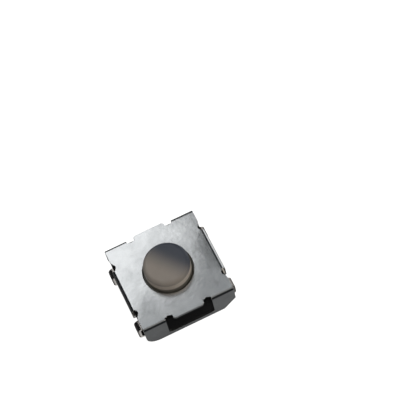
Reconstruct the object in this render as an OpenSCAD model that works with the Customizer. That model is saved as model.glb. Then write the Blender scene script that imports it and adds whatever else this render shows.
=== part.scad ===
/* [Cover] */
// Width of the cover's top plate, side to side
cover_w = 6.1; // [6.06:0.02:6.14]
// Depth of the cover over its front and back skirts
cover_d = 6.2; // [6.1:0.05:6.3]
// Height of the cover's top face above the board
cover_top = 2.5; // [2.4:0.05:2.7]
// Thickness of the cover's sheet
sheet = 0.2; // [0.18:0.01:0.22]
// Outer radius of the folds between the plate, the skirts and the flanges
fold_r = 0.25; // [0.23:0.01:0.28]
// Diameter of the hole that the button stands in
hole_d = 3.25; // [3.2:0.05:3.4]
// Height of the skirts' lower edge above the board
skirt_foot = 0.35; // [0.3:0.05:0.4]
// Height of the bar that closes each skirt's window at the bottom
bar_h = 0.35; // [0.3:0.05:0.45]
// Width of the window in each skirt
window_w = 3.1; // [2.9:0.1:3.2]
// Size of the slanted corner at one end of each skirt
skirt_cut = 0.85; // [0.7:0.05:0.9]
// Radius of the round corner at the other end of each skirt
skirt_round = 0.9; // [0.7:0.05:1.0]
// Width over the folded side flanges
flange_span = 6.4; // [6.36:0.02:6.44]
// Length of each side flange, front to back
flange_l = 3.0; // [2.8:0.1:3.1]
// Height of each side flange, from the plate's top face down
flange_h = 1.3; // [1.1:0.1:1.5]
// Radius of the relief notches at the ends of the side folds
notch_r = 0.2; // [0.18:0.02:0.22]
// Radius of the relief notches beside each window
window_notch_r = 0.25; // [0.2:0.01:0.26]

/* [Button] */
// Diameter of the button
button_d = 2.95; // [2.9:0.05:3.1]
// Height of the button's top above the board before it is pressed
button_top = 3.5; // [3.3:0.1:3.9]
// Radius of the button's rounded rim
button_rim = 0.28; // [0.2:0.02:0.34]
// Diameter of the collar that keeps the button under the cover
collar_d = 3.9; // [3.7:0.1:4.0]
// Thickness of that collar
collar_h = 0.5; // [0.4:0.05:0.6]
// Diameter of the nub that presses on the dome
nub_d = 1.6; // [1.2:0.1:2.0]

/* [Base] */
// Height of the base's underside above the board
base_foot = 0.1; // [0.06:0.01:0.12]
// How far the base's underside stands back behind the skirts' inner faces
sole_back = 0.3; // [0.25:0.05:0.35]
// Diameter of the well for the dome and the collar
well_d = 4.4; // [4.3:0.05:4.5]
// How far each snap boss stays behind the skirt's outer face
boss_back = 0.06; // [0.04:0.01:0.1]
// Width of the slot in the underside
slot_w = 5.4; // [5.3:0.05:5.5]
// Depth of that slot, front to back
slot_d = 1.7; // [1.6:0.05:1.75]
// Number of windows in the slot that bare the metal
pane_count = 5; // [3:1:5]
// Width of one of those windows
pane_w = 0.86; // [0.8:0.02:0.9]
// Depth of one of those windows, front to back
pane_d = 1.36; // [1.3:0.02:1.4]

/* [Terminals] */
// Thickness of the lead frames' strip
lead_t = 0.2; // [0.18:0.01:0.22]
// Width of each terminal
lead_w = 0.65; // [0.6:0.05:0.7]
// Distance between the terminals' centre lines, front to back
lead_pitch = 4.0; // [3.9:0.05:4.1]
// Width over the folded terminals
lead_span = 6.7; // [6.6:0.05:6.8]
// Height of the terminals' top face where they leave the base
lead_exit = 1.3; // [1.2:0.05:1.4]
// Outer radius of the folds in the lead frames
lead_fold = 0.35; // [0.3:0.05:0.4]
// Distance from the middle of the switch to each foot's tip
foot_tip = 1.75; // [1.7:0.05:1.85]
// Height of the lead frames' lower face inside the base
lead_low = 0.4; // [0.38:0.01:0.42]

/* [Dome] */
// Diameter of the snap dome
dome_d = 4.0; // [3.8:0.05:4.1]
// Height of the snap dome at its middle
dome_h = 0.42; // [0.38:0.02:0.46]
// Thickness of the snap dome's sheet
dome_t = 0.06; // [0.05:0.01:0.08]

/* [Hidden] */
$fn = 96;

// How far a cut runs past the face that it opens
past = 0.1;
// Clearance between the button and what it bears on
play = 0.02;
// How far a bend's ends run into the flat sheet beside them
lap = 0.04;

// Cover
cover_x = cover_w / 2;
cover_y = cover_d / 2;
plate_low = cover_top - sheet;
fold_z = cover_top - fold_r;
skirt_in = cover_y - sheet;
tab_y = cover_y - fold_r;
flange_out = flange_span / 2;
flange_in = flange_out - sheet;
flange_root = flange_out - fold_r;
inner_r = fold_r - sheet;
notch_y = flange_l / 2 + 1.15 * notch_r;
tab_start = notch_y + 1.15 * notch_r;
tab_slope = 0.25;
leg_x = window_w / 2;
window_foot = skirt_foot + bar_h;
window_corner = 0.2;
tongue_out = 0.03;
tongue_taper = 0.15;
tongue_slope = 0.1;
edge_bow = 0.02;
tongue_reach = cover_y + tongue_out;
tongue_root = leg_x - 2 * window_notch_r;
tongue_tip = tongue_root - tongue_taper;
flange_corner = 0.2;

// Base
base_x = flange_in;
side_play = 0.05;
sole_y = skirt_in - sole_back;
sole_step = 0.5;
edge_r = 0.15;
base_corner = 0.7;
boss_catch = 0.4;
boss_tip = 0.04;
floor_cover = 0.1;
lead_top = lead_low + lead_t;
well_floor = lead_top + floor_cover;
slot_skin = 0.06;
slot_roof = lead_low - slot_skin;
pocket_skin = 0.08;
pocket_roof = lead_low - pocket_skin;
pane_margin = 0.12;
pane_pitch = (slot_w - 2 * pane_margin - pane_w) / 4;
pocket_x = 1.3;
pocket_wall = 2.75;
pocket_y = 1.25;
pocket_margin = 0.15;
pocket_end = sole_y - pocket_margin;
mid_pocket = [1.7, 0.96];
mid_pocket_y = 1.85;
channel_play = 0.1;

// Lead frames
lead_y = lead_pitch / 2;
turn_x = lead_span / 2 - lead_fold;
riser_cover = 0.25;
riser_x = base_x - riser_cover;
rail_x = riser_x - lead_fold;
contact_r = 0.22;
centre_contact_r = 0.35;
panel_play = 0.1;
panel_lap = 0.07;
panel = [slot_w - panel_play, pane_d + 2 * panel_lap];
arm_w = 1.8;

// Dome: a cap of a sphere through its rim and its middle
dome_r = dome_d / 2;
dome_ball = (dome_r * dome_r + dome_h * dome_h) / (2 * dome_h);
rim_inset = 0.07;
rim_r = dome_r - rim_inset;
contact_x = 0.62;
contact_y = sqrt(rim_r * rim_r - contact_x * contact_x);

// Button
collar_top = plate_low - play;
collar_low = collar_top - collar_h;
nub_low = well_floor + dome_h + play;

// A sheet's quarter bend, its axis along Y through (cx, cz), turning a quarter turn on from the start angle.
// Its ends run a little way into the flat sheet on both sides, so that they join at any size.
module bend(cx, cz, start, outer, thick, width) {
    translate([cx, width / 2, cz])
        rotate([90, 0, 0])
            rotate([0, 0, start]) {
                rotate_extrude(angle = 90)
                    translate([outer - thick, 0])
                        square([thick, width]);
                translate([outer - thick, -lap, 0])
                    cube([thick, lap, width]);
                translate([-lap, outer - thick, 0])
                    cube([lap, thick, width]);
            }
}

// A block between two opposite corners
module block(low, high) {
    translate(low)
        cube(high - low);
}

// A rectangle centred on the origin with rounded corners
module round_square(size, r) {
    square([size[0], size[1] - 2 * r], center = true);
    square([size[0] - 2 * r, size[1]], center = true);
    for (sx = [-1, 1], sy = [-1, 1])
        translate([sx * (size[0] / 2 - r), sy * (size[1] / 2 - r)])
            circle(r);
}

// Stands a flat outline up in the XZ plane, with its front face at y = front
module upright(front, thick) {
    translate([0, front + thick, 0])
        rotate([90, 0, 0])
            linear_extrude(thick)
                children();
}

// Repeats its children turned half a turn about the middle
module both_ends() {
    for (turn = [0, 180])
        rotate([0, 0, turn])
            children();
}

function backwards(points) = [for (i = [len(points) - 1:-1:0]) points[i]];
function flipped(points, sx, sy) = [for (p = points) [sx * p[0], sy * p[1]]];

// One quarter of the plate's edge, from the flange's root to the tongue's tip
plate_edge = [
    [flange_root, tab_start],
    [(flange_root + cover_x) / 2, tab_start + edge_bow],
    [cover_x, tab_start + tab_slope],
    [cover_x, tab_y],
    [tongue_root, tab_y],
    [tongue_root, tongue_reach - tongue_slope],
    [tongue_tip, tongue_reach]
];

// The flat part of the cover: corner tabs, tongues over the windows, relief notches and the hole
module plate() {
    difference() {
        polygon(concat(
            plate_edge,
            flipped(backwards(plate_edge), -1, 1),
            flipped(plate_edge, -1, -1),
            flipped(backwards(plate_edge), 1, -1)
        ));
        circle(d = hole_d);
        for (sx = [-1, 1], sy = [-1, 1]) {
            translate([sx * (flange_root + notch_r / 2), sy * notch_y])
                circle(notch_r);
            translate([sx * (tongue_root + leg_x) / 2, sy * (tab_y + 0.8 * window_notch_r)])
                circle(window_notch_r);
        }
    }
}

// The window in a skirt, with rounded lower corners, open at the top
module window() {
    window_h = cover_top - window_foot;
    translate([-leg_x, window_foot + window_corner])
        square([window_w, window_h - window_corner]);
    translate([-leg_x + window_corner, window_foot])
        square([window_w - 2 * window_corner, window_h]);
    for (sx = [-1, 1])
        translate([sx * (leg_x - window_corner), window_foot + window_corner])
            circle(window_corner);
}

// One skirt: two legs joined by a bar under the window, one corner slanted and the other round
module skirt() {
    difference() {
        translate([-cover_x, skirt_foot])
            square([cover_w, fold_z - skirt_foot]);
        window();
        polygon([
            [cover_x - skirt_cut, skirt_foot - past],
            [cover_x - skirt_cut, skirt_foot],
            [cover_x, skirt_foot + skirt_cut],
            [cover_x + past, skirt_foot + skirt_cut],
            [cover_x + past, skirt_foot - past]
        ]);
        difference() {
            translate([-cover_x - past, skirt_foot - past])
                square(skirt_round + past);
            translate([-cover_x + skirt_round, skirt_foot + skirt_round])
                circle(skirt_round);
        }
    }
}

// One side flange, folded down from the plate
module flange() {
    bend(flange_root, fold_z, 0, fold_r, sheet, flange_l);
    flange_foot = cover_top - flange_h;
    half = flange_l / 2;
    translate([flange_in, 0, 0])
        rotate([90, 0, 90])
            linear_extrude(sheet)
                polygon([
                    [-half, fold_z],
                    [-half, flange_foot + flange_corner],
                    [-half + flange_corner, flange_foot],
                    [half - flange_corner, flange_foot],
                    [half, flange_foot + flange_corner],
                    [half, fold_z]
                ]);
}

module cover() {
    leg_w = cover_x - leg_x;
    color([0.74, 0.76, 0.77]) {
        translate([0, 0, plate_low])
            linear_extrude(sheet)
                plate();
        both_ends() {
            upright(-cover_y, sheet)
                skirt();
            for (sx = [-1, 1])
                translate([sx * (leg_x + leg_w / 2), 0, 0])
                    rotate([0, 0, -90])
                        bend(tab_y, fold_z, 0, fold_r, sheet, leg_w);
            flange();
        }
    }
}

// One terminal: out of the base, down its side and back under it
module terminal() {
    half = lead_w / 2;
    upright_x = turn_x + lead_fold;
    bend(rail_x, lead_low + lead_fold, 270, lead_fold, lead_t, lead_w);
    block([riser_x - lead_t, -half, lead_low + lead_fold], [riser_x, half, lead_exit - lead_fold]);
    bend(riser_x - lead_t + lead_fold, lead_exit - lead_fold, 90, lead_fold, lead_t, lead_w);
    block([riser_x - lead_t + lead_fold, -half, lead_exit - lead_t], [turn_x, half, lead_exit]);
    bend(turn_x, lead_exit - lead_fold, 0, lead_fold, lead_t, lead_w);
    block([upright_x - lead_t, -half, lead_fold], [upright_x, half, lead_exit - lead_fold]);
    bend(turn_x, lead_fold, 270, lead_fold, lead_t, lead_w);
    block([foot_tip, -half, 0], [turn_x, half, lead_t]);
}

// One strip from side to side: a rail inside the base with a terminal at each end
module strip() {
    block([-rail_x, -lead_w / 2, lead_low], [rail_x, lead_w / 2, lead_top]);
    both_ends()
        terminal();
}

// A contact face that reaches up to the well's floor
module contact(x, y, r) {
    translate([x, y, lead_low])
        cylinder(h = well_floor - lead_low, r = r);
}

module lead_frame_outer() {
    color([0.86, 0.86, 0.84]) {
        translate([0, lead_y, 0])
            strip();
        for (sx = [-1, 1])
            contact(sx * contact_x, contact_y, contact_r);
    }
}

module lead_frame_centre() {
    color([0.8, 0.81, 0.8]) {
        translate([0, -lead_y, 0])
            strip();
        block([-arm_w / 2, -lead_y, lead_low], [arm_w / 2, 0, lead_top]);
        block([-panel[0] / 2, -panel[1] / 2, lead_low], [panel[0] / 2, panel[1] / 2, lead_top]);
        contact(0, 0, centre_contact_r);
    }
}

// Eases the base's top edge along one fold of the cover
module top_ease(reach) {
    low = plate_low - inner_r;
    fold_l = cover_w + cover_d;
    translate([-fold_l / 2, 0, 0])
        rotate([90, 0, 90])
            linear_extrude(fold_l)
                polygon([
                    [reach - inner_r - past, plate_low + past],
                    [reach + past, plate_low + past],
                    [reach + past, low - past]
                ]);
}

// The moulding's outer form: a sole that steps out to fill the cover between its skirts and flanges
module base_body() {
    cut_low = sole_step - past;
    difference() {
        union() {
            translate([0, 0, base_foot])
                linear_extrude(sole_step - base_foot)
                    round_square([2 * (base_x - side_play), 2 * sole_y], edge_r);
            translate([0, 0, sole_step])
                linear_extrude(plate_low - sole_step)
                    round_square([2 * base_x, 2 * skirt_in], edge_r);
        }
        both_ends() {
            upright(sole_y, skirt_in)
                for (sx = [-1, 1])
                    polygon([
                        [sx * (base_x - base_corner - past), cut_low],
                        [sx * (base_x + past), cut_low],
                        [sx * (base_x + past), sole_step + base_corner + past]
                    ]);
            top_ease(skirt_in);
            rotate([0, 0, 90])
                top_ease(base_x);
        }
    }
}

// The boss that fills a skirt's window: a ramp for the bar to ride over, with a flat catch below
module snap_boss() {
    root_y = skirt_in - past;
    catch_y = cover_y - boss_back;
    intersection() {
        upright(root_y, cover_y)
            window();
        translate([-leg_x, 0, 0])
            rotate([90, 0, 90])
                linear_extrude(window_w)
                    polygon([
                        [root_y, window_foot],
                        [catch_y, window_foot],
                        [catch_y, window_foot + boss_catch],
                        [skirt_in + boss_tip, plate_low],
                        [root_y, plate_low]
                    ]);
    }
}

// A hollow in the underside, from its mouth up to its roof
module hollow(x, y, size, roof) {
    translate([x, y, base_foot - past])
        linear_extrude(roof - base_foot + past)
            round_square(size, edge_r);
}

// The slot with its panes, the pockets round the terminals' feet and the two middle pockets
module underside() {
    pocket = [pocket_wall - pocket_x, pocket_end - pocket_y];
    channel = [base_x - pocket_wall + past + 2 * edge_r, lead_w + 2 * channel_play];
    hollow(0, 0, [slot_w, slot_d], slot_roof);
    for (i = [0:pane_count - 1])
        translate([(i - (pane_count - 1) / 2) * pane_pitch, 0, slot_roof - past])
            linear_extrude(lead_low - slot_roof + past + lead_t / 2)
                square([pane_w, pane_d], center = true);
    for (sy = [-1, 1]) {
        hollow(0, sy * mid_pocket_y, mid_pocket, pocket_roof);
        for (sx = [-1, 1]) {
            hollow(sx * (pocket_x + pocket[0] / 2), sy * (pocket_y + pocket[1] / 2), pocket, pocket_roof);
            hollow(sx * (pocket_wall - 2 * edge_r + channel[0] / 2), sy * lead_y, channel, pocket_roof);
        }
    }
}

module base() {
    color([0.06, 0.06, 0.065])
        difference() {
            union() {
                base_body();
                both_ends()
                    snap_boss();
            }
            underside();
            translate([0, 0, well_floor])
                cylinder(h = cover_top, d = well_d);
            lead_frame_outer();
            lead_frame_centre();
        }
}

// The spring disc: a shallow cap whose rim stands on the well's floor and the outer contacts
module snap_dome() {
    color([0.8, 0.78, 0.74])
        intersection() {
            translate([0, 0, well_floor + dome_h - dome_ball])
                difference() {
                    sphere(dome_ball);
                    sphere(dome_ball - dome_t);
                }
            translate([0, 0, well_floor])
                cylinder(h = 2 * dome_h, r = 2 * dome_r);
        }
}

// The plunger: a head with a rounded rim, a collar under the cover and a nub on the dome
module button() {
    head_r = button_d / 2;
    color([0.47, 0.44, 0.42])
        rotate_extrude() {
            translate([0, nub_low])
                square([nub_d / 2, collar_top - nub_low]);
            translate([0, collar_low])
                square([collar_d / 2, collar_h]);
            translate([0, collar_low])
                square([head_r, button_top - button_rim - collar_low]);
            translate([0, collar_low])
                square([head_r - button_rim, button_top - collar_low]);
            translate([head_r - button_rim, button_top - button_rim])
                circle(button_rim);
        }
}

base();
cover();
button();
snap_dome();
lead_frame_outer();
lead_frame_centre();
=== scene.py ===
import math

import bmesh
import bpy
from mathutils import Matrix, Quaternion, Vector


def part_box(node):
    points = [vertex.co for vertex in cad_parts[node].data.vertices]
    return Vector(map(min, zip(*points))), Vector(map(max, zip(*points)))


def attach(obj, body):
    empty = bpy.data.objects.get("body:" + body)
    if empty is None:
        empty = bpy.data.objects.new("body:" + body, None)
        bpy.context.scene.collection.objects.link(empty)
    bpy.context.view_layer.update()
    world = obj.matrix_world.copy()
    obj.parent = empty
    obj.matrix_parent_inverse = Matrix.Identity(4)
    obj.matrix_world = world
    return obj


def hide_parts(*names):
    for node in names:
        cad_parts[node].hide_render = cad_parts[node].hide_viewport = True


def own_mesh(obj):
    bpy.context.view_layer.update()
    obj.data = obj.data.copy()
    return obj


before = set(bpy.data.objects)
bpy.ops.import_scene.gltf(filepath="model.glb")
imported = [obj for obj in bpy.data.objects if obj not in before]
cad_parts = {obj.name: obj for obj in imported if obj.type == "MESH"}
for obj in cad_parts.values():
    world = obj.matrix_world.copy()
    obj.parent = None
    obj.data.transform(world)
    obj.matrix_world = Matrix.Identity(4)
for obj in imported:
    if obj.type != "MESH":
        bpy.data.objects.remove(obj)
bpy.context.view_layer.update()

mm = 0.001
housing = "housing"
plunger = "plunger"

# Directions as someone in front of the switch sees them
left, right = (-1.0, 0.0, 0.0), (1.0, 0.0, 0.0)
front, back = (0.0, -1.0, 0.0), (0.0, 1.0, 0.0)
upwards = (0.0, 0.0, 1.0)


def addToScene(name, data):
    thing = bpy.data.objects.new(name, data)
    bpy.context.scene.collection.objects.link(thing)
    return thing


# The photograph's view: the camera looks down on the switch and is rolled a little
cameraLook = {
    "lens": 143.4,
    "sensor": 36.0,
    "azimuth": -12.12,
    "elevation": 62.45,
    "roll": -14.52,
    "distance": 99.75 * mm,
    "aside": 1.827 * mm,  # how far the middle of the picture lies to the right of the switch
    "above": 4.870 * mm,  # and above it
    "middle": (0, 0, 1.24 * mm),
    "clip": (5 * mm, 900 * mm),
}


def aim(azimuth, elevation):
    # Direction from the switch towards the camera; azimuth 0 is in front, 90 is on the right
    turn, lift = math.radians(azimuth), math.radians(elevation)
    return Vector((math.sin(turn) * math.cos(lift), -math.cos(turn) * math.cos(lift), math.sin(lift)))


def makeCamera(look):
    lens = bpy.data.cameras.new("camera")
    lens.lens = look["lens"]
    lens.sensor_width = look["sensor"]
    lens.clip_start, lens.clip_end = look["clip"]
    camera = addToScene("camera", lens)
    level = aim(look["azimuth"], look["elevation"]).to_track_quat("Z", "Y")
    turned = level @ Quaternion((0, 0, 1), math.radians(look["roll"]))
    camera.rotation_mode = "QUATERNION"
    camera.rotation_quaternion = turned
    offset = turned @ Vector((look["aside"], look["above"], look["distance"]))
    camera.location = Vector(look["middle"]) + offset
    bpy.context.scene.camera = camera
    print("camera made")


makeCamera(cameraLook)

# Shader helpers


def addNode(tree, kind, **values):
    # Values are set by property name, or by socket name where the node has no such property
    node = tree.nodes.new(kind)
    for name, value in values.items():
        if hasattr(node, name):
            setattr(node, name, value)
        else:
            node.inputs[name.replace("_", " ")].default_value = value
    return node


def emptyMaterial(name):
    material = bpy.data.materials.new(name)
    material.use_nodes = True
    material.node_tree.nodes.clear()
    return material, material.node_tree


def showShader(tree, shader, kind="ShaderNodeOutputMaterial"):
    output = tree.nodes.new(kind)
    tree.links.new(shader.outputs[0], output.inputs["Surface"])


def newMaterial(name):
    material, tree = emptyMaterial(name)
    shader = tree.nodes.new("ShaderNodeBsdfPrincipled")
    showShader(tree, shader)
    return material, tree, shader


def mixShaders(tree, mask, first, second):
    # The first shader where the mask is 0, the second where it is 1
    mix = tree.nodes.new("ShaderNodeMixShader")
    tree.links.new(mask, mix.inputs[0])
    tree.links.new(first.outputs[0], mix.inputs[1])
    tree.links.new(second.outputs[0], mix.inputs[2])
    return mix


def blendColours(tree, mask, first, second):
    # Each colour is either a fixed one or a socket that gives one
    mix = tree.nodes.new("ShaderNodeMix")
    mix.data_type = "RGBA"
    firstSlot, secondSlot, result = 6, 7, 2  # this node's colour sockets, which share their names with others
    tree.links.new(mask, mix.inputs["Factor"])
    for slot, colour in ((firstSlot, first), (secondSlot, second)):
        if isinstance(colour, tuple):
            mix.inputs[slot].default_value = (*colour, 1)
        else:
            tree.links.new(colour, mix.inputs[slot])
    return mix.outputs[result]


def blendValues(tree, mask, low, high):
    # Each value is either a fixed one or a socket that gives one
    mix = tree.nodes.new("ShaderNodeMapRange")
    tree.links.new(mask, mix.inputs["Value"])
    for slot, value in (("To Min", low), ("To Max", high)):
        if isinstance(value, float):
            mix.inputs[slot].default_value = value
        else:
            tree.links.new(value, mix.inputs[slot])
    return mix.outputs["Result"]


def multiply(tree, first, second):
    product = addNode(tree, "ShaderNodeMath", operation="MULTIPLY")
    tree.links.new(first, product.inputs[0])
    tree.links.new(second, product.inputs[1])
    return product.outputs[0]


def addBump(tree, shader, height, strength, distance):
    bump = addNode(tree, "ShaderNodeBump", Strength=strength, Distance=distance)
    tree.links.new(height, bump.inputs["Height"])
    tree.links.new(bump.outputs["Normal"], shader.inputs["Normal"])


def newGroup(name, inputs):
    # Every group here puts out one mask
    group = bpy.data.node_groups.new(name, "ShaderNodeTree")
    for socket, kind, value in inputs:
        made = group.interface.new_socket(socket, in_out="INPUT", socket_type=kind)
        made.default_value = value
    group.interface.new_socket("Mask", in_out="OUTPUT", socket_type="NodeSocketFloat")
    start = group.nodes.new("NodeGroupInput")
    end = group.nodes.new("NodeGroupOutput")
    return group, start, end


def groupMask(tree, group, values):
    node = tree.nodes.new("ShaderNodeGroup")
    node.node_tree = group
    for name, value in values.items():
        node.inputs[name].default_value = value
    return node.outputs["Mask"]


def inMillimetres(tree):
    # Object coordinates scaled so that noise sizes are per millimetre
    place = addNode(tree, "ShaderNodeTexCoord")
    scaled = addNode(tree, "ShaderNodeMapping")
    scaled.inputs["Scale"].default_value = (1 / mm, 1 / mm, 1 / mm)
    tree.links.new(place.outputs["Object"], scaled.inputs["Vector"])
    return scaled.outputs["Vector"]


# How strongly the finer clouds show, and the value about which all of them swing
cloudLook = {"roughness": 0.55, "average": 0.5}


def makeCloudGroup(look):
    # Soft clouds with finer ones on them: a mask from 0 to 1
    group, start, end = newGroup("clouds", [
        ("Size", "NodeSocketFloat", 1.0),
        ("Detail", "NodeSocketFloat", 3.0),
        ("Contrast", "NodeSocketFloat", 1.0),
    ])
    noise = addNode(group, "ShaderNodeTexNoise", Roughness=look["roughness"])
    group.links.new(inMillimetres(group), noise.inputs["Vector"])
    group.links.new(start.outputs["Size"], noise.inputs["Scale"])
    group.links.new(start.outputs["Detail"], noise.inputs["Detail"])
    centred = addNode(group, "ShaderNodeMath", operation="SUBTRACT")
    group.links.new(noise.outputs["Fac"], centred.inputs[0])
    centred.inputs[1].default_value = look["average"]
    spread = addNode(group, "ShaderNodeMath", operation="MULTIPLY_ADD", use_clamp=True)
    group.links.new(centred.outputs[0], spread.inputs[0])
    group.links.new(start.outputs["Contrast"], spread.inputs[1])
    spread.inputs[2].default_value = look["average"]
    group.links.new(spread.outputs[0], end.inputs["Mask"])
    return group


def makeRampGroup():
    # A mask that rises from 0 to 1 between two places along a direction, given in millimetres
    group, start, end = newGroup("ramp", [
        ("Along", "NodeSocketVector", upwards),
        ("Start", "NodeSocketFloat", 0.0),
        ("End", "NodeSocketFloat", 1.0),
    ])
    reach = addNode(group, "ShaderNodeVectorMath", operation="DOT_PRODUCT")
    group.links.new(inMillimetres(group), reach.inputs[0])
    group.links.new(start.outputs["Along"], reach.inputs[1])
    rise = addNode(group, "ShaderNodeMapRange", interpolation_type="SMOOTHSTEP")
    group.links.new(reach.outputs["Value"], rise.inputs["Value"])
    group.links.new(start.outputs["Start"], rise.inputs["From Min"])
    group.links.new(start.outputs["End"], rise.inputs["From Max"])
    group.links.new(rise.outputs["Result"], end.inputs["Mask"])
    return group


clouds = makeCloudGroup(cloudLook)
ramp = makeRampGroup()


def rampMask(tree, along, span):
    return groupMask(tree, ramp, {"Along": along, "Start": span[0], "End": span[1]})


# What all metal pieces share: broad clouds in the colour, and how much of the bump is felt
metalLook = {"broad": {"Size": 0.55, "Detail": 4.0, "Contrast": 2.0}, "felt": 0.6}


def makeSteel(name, look, paintLightAndShade=None, polish=None):
    material, tree, shader = newMaterial(name)
    broad = groupMask(tree, clouds, metalLook["broad"])
    mottle = groupMask(tree, clouds, look["mottle"])
    shader.inputs["Metallic"].default_value = 1.0
    colour = blendColours(tree, broad, look["dull"], look["pale"])
    # Painted light and shade, for the pieces that have it
    if paintLightAndShade:
        colour = paintLightAndShade(tree, look, colour, mottle)
    tree.links.new(colour, shader.inputs["Base Color"])
    rough = blendValues(tree, mottle, *look["rough"])
    if polish:
        rough = polish(tree, look, rough)
    tree.links.new(rough, shader.inputs["Roughness"])
    addBump(tree, shader, mottle, metalLook["felt"], look["bump"])
    return material


# What all plastic pieces share
plasticLook = {
    "broad": {"Size": 1.2, "Detail": 3.0, "Contrast": 1.5},
    "grain": {"Size": 28.0, "Detail": 2.0, "Contrast": 1.5},
    "felt": 0.5,
}


def makePlastic(name, look, paintLightAndShade=None):
    material, tree, shader = newMaterial(name)
    broad = groupMask(tree, clouds, plasticLook["broad"])
    grain = groupMask(tree, clouds, plasticLook["grain"])
    colour = blendColours(tree, broad, look["deep"], look["pale"])
    # Painted light and shade, for the pieces that have it
    if paintLightAndShade:
        colour = paintLightAndShade(tree, look, colour)
    tree.links.new(colour, shader.inputs["Base Color"])
    tree.links.new(blendValues(tree, grain, *look["rough"]), shader.inputs["Roughness"])
    shader.inputs["Specular IOR Level"].default_value = look["gloss"]
    addBump(tree, shader, grain, plasticLook["felt"], look["bump"])
    return material


# Shape helpers

edgeLook = {
    "join": 0.0001 * mm,  # points closer than this are one
    "flat": 0.5,  # degrees up to which two faces are taken as one flat face
    "sharp": 42,  # degrees from which an edge is eased, and isn't shaded smooth
    "segments": 2,
    "near": 0.02 * mm,  # how near to a ledge's height an edge belongs to it
}


def toMesh(name, shape):
    mesh = bpy.data.meshes.new(name)
    shape.to_mesh(mesh)
    shape.free()
    return mesh


def smoothFaces(mesh):
    mesh.polygons.foreach_set("use_smooth", [True] * len(mesh.polygons))
    mesh.set_sharp_from_angle(angle=math.radians(edgeLook["sharp"]))


def linkPiece(name, shape, body, material, node):
    mesh = toMesh(name, shape)
    smoothFaces(mesh)
    mesh.materials.append(material)
    piece = addToScene(name, mesh)
    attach(piece, body)
    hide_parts(node)
    print(name, "made")
    return piece


def mergedCopy(node):
    # A CAD node's mesh is loose triangles until its doubles are merged
    shape = bmesh.new()
    shape.from_mesh(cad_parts[node].data)
    bmesh.ops.remove_doubles(shape, verts=shape.verts, dist=edgeLook["join"])
    return shape


def cutSeams(shape, cuts):
    # Cuts through the openings, kept as seams, so that no flat face has to go round a hole
    for axis, place in cuts:
        across = Vector((0, 0, 0))
        across[axis] = 1
        everything = shape.verts[:] + shape.edges[:] + shape.faces[:]
        bmesh.ops.bisect_plane(
            shape, geom=everything, dist=edgeLook["join"], plane_co=across * place, plane_no=across,
        )
    seams = set()
    for axis, place in cuts:
        on = {v for v in shape.verts if abs(v.co[axis] - place) < 2 * edgeLook["join"]}
        seams.update(edge for edge in shape.edges if on.issuperset(edge.verts))
    return seams


def mergeFlats(shape, seams):
    # Triangles that lie flat become one face again, up to the seams
    ends = {v for edge in seams for v in edge.verts}
    bmesh.ops.dissolve_limit(
        shape, angle_limit=math.radians(edgeLook["flat"]),
        verts=[v for v in shape.verts if v not in ends],
        edges=[edge for edge in shape.edges if edge not in seams],
    )


def easedCopy(node, name, material, look):
    # A copy of a CAD node with its edges eased to catch the light, but for those at a hidden ledge's height
    shape = mergedCopy(node)
    mergeFlats(shape, cutSeams(shape, look["cuts"]))
    weight = shape.edges.layers.float.new("bevel_weight_edge")
    ledge = look["ledge"]
    for edge in shape.edges:
        hidden = ledge is not None and any(abs(v.co.z - ledge) < edgeLook["near"] for v in edge.verts)
        if not hidden and edge.calc_face_angle(0) > math.radians(edgeLook["sharp"]):
            edge[weight] = 1
    piece = linkPiece(name, shape, housing, material, node)
    bevel = piece.modifiers.new("easedEdges", "BEVEL")
    bevel.width = look["ease"]
    bevel.segments = edgeLook["segments"]
    bevel.limit_method = "WEIGHT"
    bevel.use_clamp_overlap = False
    bevel.harden_normals = True
    return piece


# Each cut is an axis, 0 for x and 1 for y, and a place on it
middle = ((0, 0.0), (1, 0.0))
contacts = ((0, -0.5375 * mm), (0, 0.5375 * mm))  # midway between panes, and through the contacts too
terminals = ((1, -2.0 * mm), (1, 2.0 * mm))  # through the middles of the terminals

# The base is one matt black moulding
baseLook = {
    "deep": (0.003, 0.003, 0.0035),
    "pale": (0.008, 0.008, 0.009),
    "rough": (0.42, 0.55),
    "gloss": 0.15,
    "bump": 0.004 * mm,
    "ease": 0.025 * mm,
    "cuts": middle + contacts + terminals,
    "ledge": 0.5 * mm,  # the height of the hidden edges that stay sharp
}


def makeBase(look):
    black = makePlastic("basePlastic", look)
    easedCopy("base", "mouldedBase", black, look)


# The cover is one folded sheet of satin steel
coverLook = {
    "pale": (0.80, 0.82, 0.83),
    "dull": (0.60, 0.62, 0.63),
    "rough": (0.19, 0.26),
    "mottle": {"Size": 2.4, "Detail": 1.0, "Contrast": 1.3},
    "bump": 0.006 * mm,
    "folded": 0.15,  # the folds and what hangs from them are smoother, rubbed by the tool
    "level": (2.42, 2.49),  # the heights between which the plate turns into its folds
    "ease": 0.02 * mm,
    "cuts": middle,
    "ledge": None,
}


def polishFolds(tree, look, rough):
    return blendValues(tree, rampMask(tree, upwards, look["level"]), look["folded"], rough)


def makeCover(look):
    steel = makeSteel("coverSteel", look, polish=polishFolds)
    easedCopy("cover", "foldedCover", steel, look)


# Both lead frames have one plating
platingLook = {
    "pale": (0.78, 0.77, 0.74),
    "dull": (0.56, 0.545, 0.51),
    "rough": (0.18, 0.34),
    "mottle": {"Size": 4.0, "Detail": 3.0, "Contrast": 1.4},
    "bump": 0.004 * mm,
    "paintedShadeAbove": (0.42, 0.40, 0.38),  # painted shade: the feet are bright below, and what rises from them is painted duller
    "above": (0.03, 0.2),  # between these heights, in mm
    "inner": ((0.05, 0.053, 0.058), (0.19, 0.195, 0.205)),  # painted shade: what shows deep in the openings is painted duller still
    "reach": (1.1, 1.3),  # how far to the front and back the openings go
}
outerLeadsLook = {"ease": 0.02 * mm, "cuts": middle, "ledge": None}
centreLeadsLook = {"ease": 0.02 * mm, "cuts": middle, "ledge": None}


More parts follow.
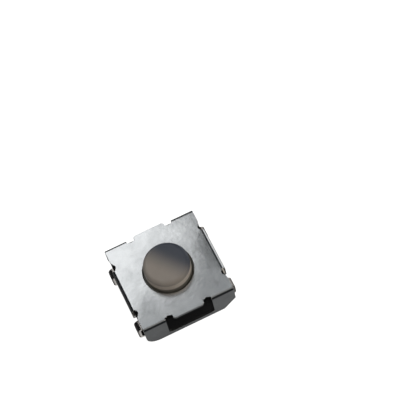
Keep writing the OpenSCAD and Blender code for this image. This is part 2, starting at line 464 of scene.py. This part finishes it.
def paintPlatingShade(tree, look, colour, mottle):
    # Painted shade on what rises above the feet
    colour = blendColours(tree, rampMask(tree, upwards, look["above"]), colour, look["paintedShadeAbove"])
    # Painted shade on what lies deep in the openings
    inner = blendColours(tree, mottle, *look["inner"])
    near, far = look["reach"]
    inner = blendColours(tree, rampMask(tree, back, (-far, -near)), colour, inner)
    return blendColours(tree, rampMask(tree, back, (near, far)), inner, colour)


def makeLeads():
    silver = makeSteel("leadPlating", platingLook, paintLightAndShade=paintPlatingShade)
    easedCopy("lead_frame_outer", "outerLeads", silver, outerLeadsLook)
    easedCopy("lead_frame_centre", "centreLeads", silver, centreLeadsLook)


# The button is plastic; its colour holds painted shade, cool-tinted, towards the back, a painted highlight on
# its side and painted shade at its foot
buttonLook = {
    "deep": (0.51, 0.46, 0.41),
    "pale": (0.57, 0.515, 0.462),
    "back": (0.115, 0.132, 0.168),  # painted shade, cool-tinted, which sets in along this direction
    "away": (0.8, 0.6, 0.0),
    "fade": (-0.7, 0.85),  # between these places on it, in mm
    "side": (0.88, 0.79, 0.70),  # painted highlight on the side, which gives way to the top between these heights
    "rise": (3.12, 3.28),
    "foot": (0.26, 0.25, 0.22),  # painted shade at the foot, in the collar, which gives way to the side between these
    "sink": (2.60, 2.82),
    "rough": (0.30, 0.38),
    "gloss": 0.3,
    "bump": 0.003 * mm,
    "head": 1.475 * mm,  # radii of the round head and of the nub that presses the dome
    "nub": 0.8 * mm,
    "collarHeight": 0.5 * mm,
    "sheet": 0.2 * mm,  # the cover's thickness, and the play left under it
    "play": 0.02 * mm,
    "rim": 0.28 * mm,
    "dish": 0.03 * mm,
    "steps": 128,  # facets round the axis, along the rim's arc and across the dish
    "arc": 12,
    "rings": 8,
}


def paintButtonLightAndShade(tree, look, colour):
    # Painted shade, cool-tinted, towards the back
    colour = blendColours(tree, rampMask(tree, look["away"], look["fade"]), colour, look["back"])
    # Painted highlight on the side
    colour = blendColours(tree, rampMask(tree, upwards, look["rise"]), look["side"], colour)
    # Painted shade at the foot, in the collar
    return blendColours(tree, rampMask(tree, upwards, look["sink"]), look["foot"], colour)


def buttonSection(look):
    # Half the section, from the axis outwards under the nub and back to the axis over the dish
    low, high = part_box("button")
    head, nub, rim = look["head"], look["nub"], look["rim"]
    collarRadius = high.x
    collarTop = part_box("cover")[1].z - look["sheet"] - look["play"]
    collarLow = collarTop - look["collarHeight"]
    flat = head - rim
    section = [(0, low.z), (nub, low.z), (nub, collarLow), (collarRadius, collarLow)]
    section += [(collarRadius, collarTop), (head, collarTop)]
    for i in range(look["arc"] + 1):
        turn = math.pi / 2 * i / look["arc"]
        section.append((flat + rim * math.cos(turn), high.z - rim + rim * math.sin(turn)))
    for i in range(1, look["rings"] + 1):
        reach = 1 - i / look["rings"]
        section.append((flat * reach, high.z - look["dish"] * (1 - reach * reach)))
    return section


def makeButton(look):
    shape = bmesh.new()
    verts = [shape.verts.new((x, 0, z)) for x, z in buttonSection(look)]
    edges = [shape.edges.new(pair) for pair in zip(verts, verts[1:])]
    bmesh.ops.spin(
        shape, geom=verts + edges, axis=(0, 0, 1), cent=(0, 0, 0),
        steps=look["steps"], angle=2 * math.pi, use_merge=True,
    )
    bmesh.ops.remove_doubles(shape, verts=shape.verts, dist=edgeLook["join"])
    bmesh.ops.recalc_face_normals(shape, faces=shape.faces)
    grey = makePlastic("buttonPlastic", look, paintLightAndShade=paintButtonLightAndShade)
    linkPiece("buttonCap", shape, plunger, grey, "button")


# The dome gives way under the button's nub when the switch is pressed; here it keeps the CAD shape
domeLook = {
    "pale": (0.78, 0.75, 0.70),
    "dull": (0.62, 0.60, 0.56),
    "rough": (0.2, 0.3),
    "mottle": {"Size": 2.0, "Detail": 3.0, "Contrast": 1.4},
    "bump": 0.002 * mm,
    "kept": 0.36,  # the share of its height that is left when the button is down
}


def makeDome(look):
    spring = makeSteel("domeSteel", look)
    piece = linkPiece("snapDome", mergedCopy("snap_dome"), housing, spring, "snap_dome")
    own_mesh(piece)


makeBase(baseLook)
makeCover(coverLook)
makeLeads()
makeButton(buttonLook)
makeDome(domeLook)
print("pieces finished")

# Floor, lamps and surroundings

# The patches are seen only by mirrored and scattered light, and are laid on top of each other. Each is
# a brightness, and the directions along which it sets in, with the places in mm between which it does.
floorLook = {
    "size": 600 * mm,
    "drop": 0.005 * mm,
    "seen": 0.95,
    "white": (0.9, 0.9, 0.9),
    "glow": 0.01,
    "patches": [
        (0.12, [(back, -20.0, -6.0)]),
        (0.05, [(back, -4.0, 0.0)]),
        (0.14, [(right, -0.5, 2.2), (front, 3.0, 3.2), (back, -8.0, -5.0)]),
        (0.35, [(right, 3.5, 6.0), (back, -8.0, -5.0)]),
        (0.30, [(right, -3.0, -2.5), (back, 3.2, 3.6), (front, -8.0, -6.5)]),
        (0.30, [(left, 3.5, 5.5), (front, 3.2, 5.0)]),
        (1.00, [(left, -3.3, -3.2), (right, -3.3, -3.2), (front, -3.0, -2.9), (back, -3.0, -2.9)]),
    ],
}


def patchedLight(tree, look):
    level = look["glow"]
    for glow, sides in look["patches"]:
        mask = None
        for along, start, end in sides:
            side = rampMask(tree, along, (start, end))
            mask = side if mask is None else multiply(tree, mask, side)
        level = blendValues(tree, mask, level, glow)
    patched = addNode(tree, "ShaderNodeEmission")
    tree.links.new(level, patched.inputs["Color"])
    return patched


def makeFloor(look):
    shape = bmesh.new()
    bmesh.ops.create_grid(shape, x_segments=1, y_segments=1, size=look["size"] / 2)
    floor = addToScene("floor", toMesh("floor", shape))
    floor.location.z = -look["drop"]
    material, tree = emptyMaterial("paleFloor")
    white = addNode(tree, "ShaderNodeBsdfDiffuse", Color=(*look["white"], 1))
    shine = addNode(tree, "ShaderNodeEmission", Strength=look["seen"])
    seen = tree.nodes.new("ShaderNodeAddShader")
    tree.links.new(white.outputs[0], seen.inputs[0])
    tree.links.new(shine.outputs[0], seen.inputs[1])
    path = addNode(tree, "ShaderNodeLightPath")
    above = mixShaders(tree, path.outputs["Is Camera Ray"], patchedLight(tree, look), seen)
    # From below the floor is clear, so that the underside can be looked at
    facing = addNode(tree, "ShaderNodeNewGeometry")
    below = addNode(tree, "ShaderNodeBsdfTransparent")
    showShader(tree, mixShaders(tree, facing.outputs["Backfacing"], above, below))
    floor.data.materials.append(material)


# Each lamp is a flat panel: its middle and size in mm, and the brightness seen in a mirror
lamps = {
    "window": {"at": (-8.2, 25.8, 32), "size": (26, 30), "glow": 1.24, "colour": (1.0, 1.0, 1.0)},
    "frontRight": {"at": (40, -27, 41), "size": (46, 32), "glow": 1.9, "colour": (1.0, 0.93, 0.85)},
    "frontLeft": {"at": (-36, -42, 32), "size": (32, 30), "glow": 1.0, "colour": (1.0, 0.93, 0.85)},
    "frontTop": {"at": (4, -22, 52), "size": (18, 34), "glow": 0.26, "colour": (1.0, 0.97, 0.92)},
    "overhead": {"at": (-2, 9, 70), "size": (40, 28), "glow": 0.45, "colour": (0.95, 0.98, 1.0)},
    "side": {"at": (44, 24, 12), "size": (20, 26), "glow": 1.05, "colour": (1.0, 1.0, 1.0)},
}
lampTarget = Vector((0, 0, 2.5 * mm))


def makeLamps(looks):
    for name, look in looks.items():
        lamp = bpy.data.lights.new(name, "AREA")
        lamp.shape = "RECTANGLE"
        lamp.size, lamp.size_y = (side * mm for side in look["size"])
        lamp.energy = look["glow"] * math.pi * lamp.size * lamp.size_y
        lamp.color = look["colour"]
        holder = addToScene(name, lamp)
        holder.location = Vector(look["at"]) * mm
        holder.rotation_mode = "QUATERNION"
        holder.rotation_quaternion = (holder.location - lampTarget).to_track_quat("Z", "Y")
        holder.visible_camera = False


# White behind the switch, but dim in what it mirrors
surroundings = {"white": (1.0, 1.0, 1.0), "mirrored": (0.80, 0.90, 1.0), "strength": 0.014}


def makeWorld(look):
    world = bpy.data.worlds.new("surroundings")
    bpy.context.scene.world = world
    world.use_nodes = True
    tree = world.node_tree
    tree.nodes.clear()
    path = addNode(tree, "ShaderNodeLightPath")
    dim = addNode(tree, "ShaderNodeBackground", Color=(*look["mirrored"], 1), Strength=look["strength"])
    plain = addNode(tree, "ShaderNodeBackground", Color=(*look["white"], 1))
    shown = mixShaders(tree, path.outputs["Is Camera Ray"], dim, plain)
    showShader(tree, shown, kind="ShaderNodeOutputWorld")


makeFloor(floorLook)
makeLamps(lamps)
makeWorld(surroundings)
bpy.context.scene.view_settings.view_transform = "Standard"
print("floor and lamps made")
